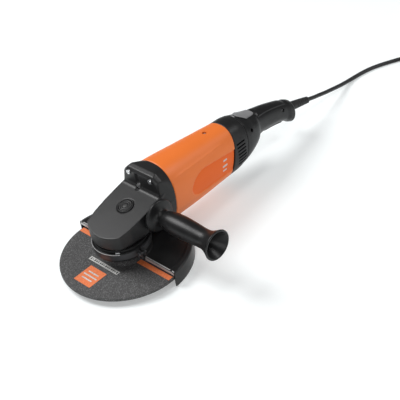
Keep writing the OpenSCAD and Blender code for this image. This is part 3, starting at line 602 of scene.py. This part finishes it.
def make_motor_housing():
    places = rim_steps(MOTOR_FRONT, MOTOR_BACK, 1.7)
    shell = lofted_shell("motor_shell", MOTOR, places, 264, WALL, motor_relief, smooth=50)
    hole = rod("hole", (TOP_SCREW_X, 0, 120), (TOP_SCREW_X, 0, 140), 4.3)
    shell = carve(shell, [hole], smooth=50)
    settle(shell, "housing", "orange", "orange_plastic", "motor_housing")
    # Outward faces inside the sunk side panels take the darker orange copy: painted shade for their
    # downward-facing sides.
    shell.data.materials.append(M["orange_painted_shade"])
    for face in shell.data.polygons:
        middle = face.center / MM
        lean = float(np.interp(-middle.x, [MOTOR_FRONT, 158.5, MOTOR_BACK], [0.065, 0.1, 0.2]))
        x = -middle.x - lean * (middle.z - PANEL_Z)
        if panel_depth(x, middle.z, 0.0) > 0.5 and abs(middle.y) > 25 and face.normal.y * middle.y > 0:
            face.material_index = 1
    for i, half in enumerate((5.0, 6.4, 5.0)):
        turn = math.radians(5.5 - 8.5 * i)
        ends = [(MARK_X - half, 1.5), (MARK_X + half, 1.5)]
        bar = surface_patch("side_mark_%d" % i, MOTOR, ends, -2.9, -2.08, 0.1, 12, turn)
        settle(bar, "housing", "label_pale", "orange_plastic")
    dish = [(0, 0), (0, 3.5), (1.4, 3.5), (1.4, 1.6), (0.7, 1.2), (0.7, 0)]
    settle(turned("top_screw", dish, (TOP_SCREW_X, 0, 127.6)), "housing", "steel", "steel")


def make_vent_ring():
    shell = lofted_shell("vent_shell", VENT, rim_steps(VENT_FRONT, VENT_BACK, 2.0), 200, WALL,
                         edge_relief(VENT_FRONT, VENT_BACK), smooth=50)
    slots = []
    for side in (-1, 1):
        for i in range(SLOT_COUNT):
            z = SLOT_LOW_Z + i * SLOT_PITCH
            outline = rounded([(SLOT_BACK, z), (SLOT_FRONT, z), (SLOT_FRONT, z + SLOT_TALL),
                               (SLOT_BACK, z + SLOT_TALL)], 1.4)
            slots.append(prism("slot", outline, 20 * side, 60 * side))
    shell = carve(shell, slots, smooth=50)
    settle(shell, "housing", "plastic", "black_plastic", "vent_ring")


def make_handle():
    for name, s in (("left", 1), ("right", -1)):
        first = -QUARTER + 0.004 if s > 0 else QUARTER + 0.004
        shell = lofted_shell("grip_" + name, REAR, rim_steps(REAR_FRONT, REAR_BACK, 1.6), 110, WALL,
                             grip_relief, first, first + math.pi - 0.008, smooth=50)
        cutters = [rod("hole", (-x, s * 8, z), (-x, s * 60, z), 3.4) for x, z in SHELL_SCREWS]
        cutters.append(block("slot", (-427, -7.3, 20), (-365, 7.3, 62)))
        cutters.append(block("gate", (-336, -8.6, 96), (-308, 8.6, 136)))
        cutters.append(rod("mouth", (-437, 0, 62.3), (-470, 0, 53.8), 9.05))
        shell = carve(shell, cutters, smooth=50)
        settle(shell, "housing", "grip", "black_plastic", "handle_shell_" + name)


def surface_patch(name, sections, outline, inner, outer, chamfer=0.8, count=40, about=QUARTER):
    """A plate that lies on a lofted skin; its outline gives half angles round the top at places along it."""
    low, high = outline[0][0], outline[-1][0]
    places = sorted({low, low + 0.5, low + 1, high - 1, high - 0.5, high, *[x for x, a in outline[1:-1]],
                     *steps(low + 1.5, high - 1.5, 0.8)})
    top, under = [], []
    for section in smooth_sections(sections, places):
        x = section[0]
        spread = math.radians(float(np.interp(x, [o[0] for o in outline], [o[1] for o in outline])))
        for i in range(count):
            angle = spread * (2 * i / (count - 1) - 1)
            edge = min(x - low, high - x, (spread - abs(angle)) * 20)
            top.append(oval_point(section, about + angle, outer - chamfer * (1 - fade(edge, 0.0, 1.2))))
            under.append(oval_point(section, about + angle, inner))
    rows, skip = len(places), len(places) * count
    faces = grid_faces(rows, count, False)
    faces += [tuple(i + skip for i in f) for f in grid_faces(rows, count, False, flip=True)]
    rim = list(range(count)) + [r * count + count - 1 for r in range(1, rows)]
    rim += [(rows - 1) * count + i for i in range(count - 2, -1, -1)]
    rim += [r * count for r in range(rows - 2, 0, -1)]
    faces += [(a, b, b + skip, a + skip) for a, b in zip(rim, rim[1:] + rim[:1])]
    return to_object(name, top + under, faces, 35)


def make_switches():
    slide = surface_patch("slide_plate", REAR, [(298.3, 6.5), (313.5, 24), (341.3, 20.5)], 0.5, 2.6)
    settle(slide, "lock_off", "grey", "grey_plastic")
    neck = block("slide_neck", (-331, -8, 100), (-319, 8, 113.5))
    settle(bevelled(neck, 0.5), "lock_off", "grey", "grey_plastic", "lock_off_slide")
    stop = surface_patch("slide_rest", REAR, [(290.9, 5.5), (294.4, 3.8)], 0.03, 1.8)
    settle(stop, "housing", "grey", "grey_plastic", "slide_stop")
    outline = [(-367, 64), (-380, 64), (-390, 62), (-402, 62), (-420, 54), (-422, 46.5), (-419, 43.5),
               (-412, 45.3), (-400, 48), (-386, 50.3), (-374, 51.8), (-367, 53.5)]
    lever = prism("trigger_lever", rounded(outline, 4, 5), -7, 7)
    settle(bevelled(lever, 1.1, 3), "trigger", "plastic", "black_plastic", "trigger")


# ---------- gear head ----------

ROOF_SLOPE = math.tan(math.radians(13.6))
LOCK = (-23.0, 0.0, 101.53)


def softened(node, name, voxel, rounds):
    """A copy of a CAD node with its edges rounded as a casting's are."""
    piece = bpy.data.objects.new(name, frame["nodes"][node].data.copy())
    bpy.context.scene.collection.objects.link(piece)
    bm = bmesh.new()
    bm.from_mesh(piece.data)
    bmesh.ops.remove_doubles(bm, verts=bm.verts, dist=1e-6)
    bm.to_mesh(piece.data)
    bm.free()
    grid = piece.modifiers.new("grid", "REMESH")
    grid.mode = "VOXEL"
    grid.voxel_size = voxel * MM
    ease = piece.modifiers.new("ease", "SMOOTH")
    ease.factor = 0.5
    ease.iterations = rounds
    return baked(piece, 60)


def make_gear_head():
    settle(softened("gear_housing", "gear_case", 0.75, 12), "housing", "cast", "black_metal", "gear_housing")
    ring = rounded([(-6.5, 11.9), (0.2, 11.9), (0.9, 12.6), (1.5, 13.3), (1.5, 14.0), (-0.4, 15), (-6.5, 15)],
                   0.5, 3)
    ring = turned("lock_ring", ring, LOCK, shear=-ROOF_SLOPE)
    settle(ring, "housing", "cast", "black_plastic", "lock_bezel")
    top = [(-2.25, 0), (-2.25, 10.9), (-1.5, 11.6), (0.4, 11.6), (1.0, 11.0), (0.9, 9.2), (0.35, 8.6),
           (0.9, 8.0), (1.2, 6.2), (0.7, 5.6), (1.25, 5.0), (1.5, 2.5), (1.6, 0)]
    cap = turned("lock_cap", top, LOCK, shear=-ROOF_SLOPE, smooth=60)
    settle(cap, "lock", "plastic", "black_plastic", "lock_button")


# ---------- wheel and guard ----------

WHEEL_Z, WHEEL_R = 10.0, 115.0
PLATE_Z, GUARD_R, EDGE_X = 27.0, 120.0, -3.0


def make_wheel():
    profile = rounded([(11.5, 11.1), (11.5, 27), (7, 33), (7, WHEEL_R), (13, WHEEL_R), (13, 35), (17.5, 29),
                       (17.5, 11.1)], 1.4, 4)
    wheel = turned("wheel", profile, count=220, smooth=50)
    settle(wheel, "spindle", "abrasive", "abrasive", "grinding_wheel")
    top = WHEEL_Z + 3
    square = prism("label_square", [(57, -25), (97, -25), (97, 15), (57, 15)], top, top + 0.28, "z")
    settle(square, "spindle", "label_orange", "label")
    for i, width in enumerate((12, 16, 12)):
        x = 69 + i * 8
        outline = [(x - 1.3, -5 - width), (x + 1.3, -5 - width), (x + 1.3, -5 + width), (x - 1.3, -5 + width)]
        bar = prism("label_bar_%d" % i, outline, top + 0.25, top + 0.36, "z")
        settle(bar, "spindle", "label_pale", "label")
    strip = prism("label_strip", [(40, -42), (48, -42), (48, 30), (40, 30)], top, top + 0.28, "z")
    settle(strip, "spindle", "label_pale", "label")
    for i in range(15):
        y, width, tall = -39 + i * 4.6, (2.6, 1.6, 2.9)[i % 3], (2.2, 1.6, 2.4, 1.9)[i % 4]
        outline = [(44 - tall, y), (44 + tall, y), (44 + tall, y + width), (44 - tall, y + width)]
        bar = prism("strip_bar_%d" % i, outline, top + 0.25, top + 0.34, "z")
        settle(bar, "spindle", "label_dark", "label")
    for name, s in (("left", 1), ("right", -1)):
        ends = sorted((36 * s, 113 * s))
        outline = [(-4, ends[0]), (6, ends[0]), (6, ends[1]), (-4, ends[1])]
        band = prism("label_band_" + name, outline, top, top + 0.28, "z")
        settle(band, "spindle", "label_orange", "label", *(["wheel_label"] if s > 0 else []))


def make_guard():
    collar_low, collar_high, neck = 38.0, 52.3, 48.0
    profile = rounded([(PLATE_Z - 2, neck), (collar_low + 0.5, neck), (collar_low + 0.5, neck + 1.6),
                       (PLATE_Z + 1, neck + 1.6), (PLATE_Z, neck + 4), (PLATE_Z, 109), (PLATE_Z + 0.7, 111),
                       (PLATE_Z + 0.7, 113.5), (PLATE_Z, 115), (PLATE_Z - 0.6, GUARD_R - 1.5),
                       (PLATE_Z - 3, GUARD_R), (FLOOR_Z, GUARD_R), (FLOOR_Z, GUARD_R - 2),
                       (PLATE_Z - 4, GUARD_R - 2), (PLATE_Z - 2, GUARD_R - 5)], 1.6, 4)
    shell = turned("guard_skirt", profile, count=256, smooth=50)
    bm = bmesh.new()
    bm.from_mesh(shell.data)
    geometry = bm.verts[:] + bm.edges[:] + bm.faces[:]
    cut = bmesh.ops.bisect_plane(bm, geom=geometry, plane_co=(EDGE_X * MM, 0, 0), plane_no=(1, 0, 0),
                                 clear_outer=True)
    edges = [e for e in cut["geom_cut"] if isinstance(e, bmesh.types.BMEdge)]
    bmesh.ops.holes_fill(bm, edges=edges)
    bm.to_mesh(shell.data)
    bm.free()
    shade(shell, 50)
    settle(shell, "guard", "guard", "black_metal", "guard_shell")
    collar = rounded([(collar_low - 2, neck), (collar_high, neck), (collar_high, neck + 1.6),
                      (collar_low - 2, neck + 1.6)], 0.5, 3)
    settle(turned("guard_collar", collar, count=160), "guard", "guard", "black_metal")
    # A thin ring on the clamp band's top rim, light grey only on the arc facing the light and guard black
    # elsewhere: a painted highlight.
    edge = rounded([(51.2, 50.5), (51.2, 51.45), (52.0, 51.3), (52.0, 50.5)], 0.2, 2)
    edge = settle(turned("band_painted_highlight", edge, count=160), "guard", "edge", "steel")
    edge.data.materials.append(M["guard"])
    for face in edge.data.polygons:
        if not -75 < math.degrees(math.atan2(face.center.y, face.center.x)) < 44:
            face.material_index = 1
    # The guard's front lips are black metal; the light grey edge colour on them is a painted highlight along
    # the front edges.
    for name, s in (("left", 1), ("right", -1)):
        ends = sorted((s * 49.8, s * 118.4))
        lip = block("guard_lip_" + name, (EDGE_X - 2, ends[0], PLATE_Z - 8), (EDGE_X, ends[1], PLATE_Z + 0.4))
        settle(bevelled(lip, 0.5), "guard", "edge", "black_metal")


# ---------- side handle, strain relief, plug ----------

SIDE = (-45.0, 0.0, 91.0)


def make_side_handle():
    body = [(54, 28.5), (57, 29.5), (59.5, 28), (62, 18), (65, 14.2), (70, 13.6), (76, 15.4), (86, 17.9),
            (100, 19.2), (118, 19.2), (136, 18.2), (152, 17), (163, 16.9), (171, 18.4), (178, 21.4),
            (184, 24.6), (188, 27)]
    smooth_body = [(float(p.x), float(p.y)) for p in spline([(a, b, 0) for a, b in body], 1.2)]
    mouth = rounded([(188, 27), (190, 26.7), (190, 24.2), (164, 9), (162, 7), (162, 0)], 1.0, 3, closed=False)
    base = rounded([(51.2, 0), (51.2, 20), (53, 27), (54, 28.5)], 0.8, 3, closed=False)
    profile = base[:-1] + smooth_body[:-1] + mouth
    grip = turned("side_grip", profile, SIDE, (0, 1, 0), 144, smooth=50)
    settle(grip, "housing", "grip", "black_plastic", "side_handle_grip")


def make_strain_relief():
    start, end = Vector(LEAD[0]), Vector((-440, 0, 61.5))
    axis = end - start
    profile = [(0, 4.1), (0, 6.2), (0.6, 6.7)]
    for i in range(6):
        a = 5 + i * 6.4
        r = 6.7 + a * 0.052
        profile += [(a, r), (a + 0.5, r - 0.9), (a + 1.7, r - 0.85), (a + 2.2, r + 0.15)]
    profile += [(48, 8.9), (54, 8.99), (68, 8.99), (68, 4.1)]
    sleeve = turned("relief_sleeve", profile, start, axis, 72, smooth=40)
    settle(sleeve, "housing", "rubber", "rubber", "cord_strain_relief")


def make_plug():
    sections = [[0, 9, 5.2, 5.2, 2], [20, 9, 7.5, 7.5, 2], [28, 9, 12, 10, 2.4], [36, 9, 16.5, 12.4, 2.6],
                [42, 9, 17.5, 13, 2.8], [57, 9, 17.5, 13, 2.8], [58, 9, 16.4, 12, 2.8]]
    stations = smooth_sections(sections, steps(0, 58, 1.5))
    end_x, end_y, _ = TAIL[-1]
    count = 64
    verts = []
    for s in stations:
        for i in range(count):
            p = oval_point([*s, 0.0], 2 * math.pi * (i + 0.5) / count)
            verts.append(Vector((end_x + p.y, end_y - p.x, p.z)))
    faces = grid_faces(len(stations), count)
    last = (len(stations) - 1) * count
    faces += [tuple(range(count)), tuple(last + i for i in range(count - 1, -1, -1))]
    body = to_object("plug_shell", verts, faces, 50)
    return settle(body, "housing", "rubber", "rubber", "plug_body")


# ---------- CAD nodes that stay ----------

SLOT_LOOKS = {"black_metal": "cast", "steel": "steel", "black_plastic": "plastic", "orange_plastic": "orange",
              "copper": "copper", "brass": "brass", "carbon": "carbon", "rubber": "rubber",
              "abrasive": "abrasive", "label": "label_orange", "grey_plastic": "grey", "cable": "cable"}
NODE_LOOKS = {"guard_clamp_band": "dark_steel", "guard_clamp_screw": "dark_steel"}


def dress_cad_nodes():
    slots = {entry["node"]: entry["material_slot"] for entry in frame["record"]["subparts"]}
    for name, node in frame["nodes"].items():
        look = M[NODE_LOOKS.get(name, SLOT_LOOKS[slots[name]])]
        for slot in node.material_slots:
            slot.material = look


M = make_materials()
make_camera()
make_studio()
plug = make_plug()
make_cord()
make_floor()
make_motor_housing()
make_vent_ring()
make_handle()
make_switches()
make_gear_head()
make_wheel()
make_guard()
make_side_handle()
make_strain_relief()
dress_cad_nodes()
